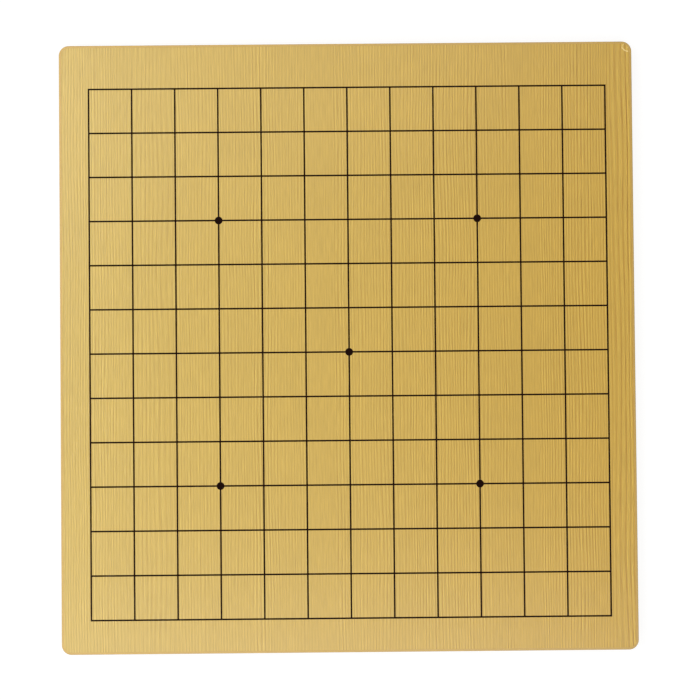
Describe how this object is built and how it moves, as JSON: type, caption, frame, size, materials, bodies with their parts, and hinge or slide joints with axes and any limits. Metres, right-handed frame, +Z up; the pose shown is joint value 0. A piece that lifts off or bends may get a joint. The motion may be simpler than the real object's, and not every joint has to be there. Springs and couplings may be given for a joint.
{
  "type": "weiqi board",
  "caption": "Flat rigid weiqi board with rounded corners: a banded fibreboard panel faced with wood-grain film, with a printed line field and star points on each face.",
  "frame": {"origin": "under the middle of the board, at its base", "axes": "+Z up out of the front playing face, +Y along the grain and the longer side to the player's far side, +X to the player's right"},
  "size_m": [0.293, 0.3102, 0.012],
  "materials": {
    "fibreboard": "raw sanded medium-density fibreboard",
    "wood_grain_film": "satin PVC film printed with straight pale yellow wood grain",
    "hot_melt_glue": "cured amber hot-melt glue",
    "edge_band_plastic": "satin plastic band printed with wood grain along its length",
    "print_ink": "dense brown-black screen ink"
  },
  "bodies": {
    "root": {"core_panel": "fibreboard", "front_film": "wood_grain_film", "reverse_film": "wood_grain_film", "edge_glue": "hot_melt_glue", "edge_band": "edge_band_plastic", "front_grid_lines": "print_ink", "front_star_points": "print_ink", "reverse_grid_lines": "print_ink", "reverse_star_points": "print_ink"}
  },
  "joints": []
}
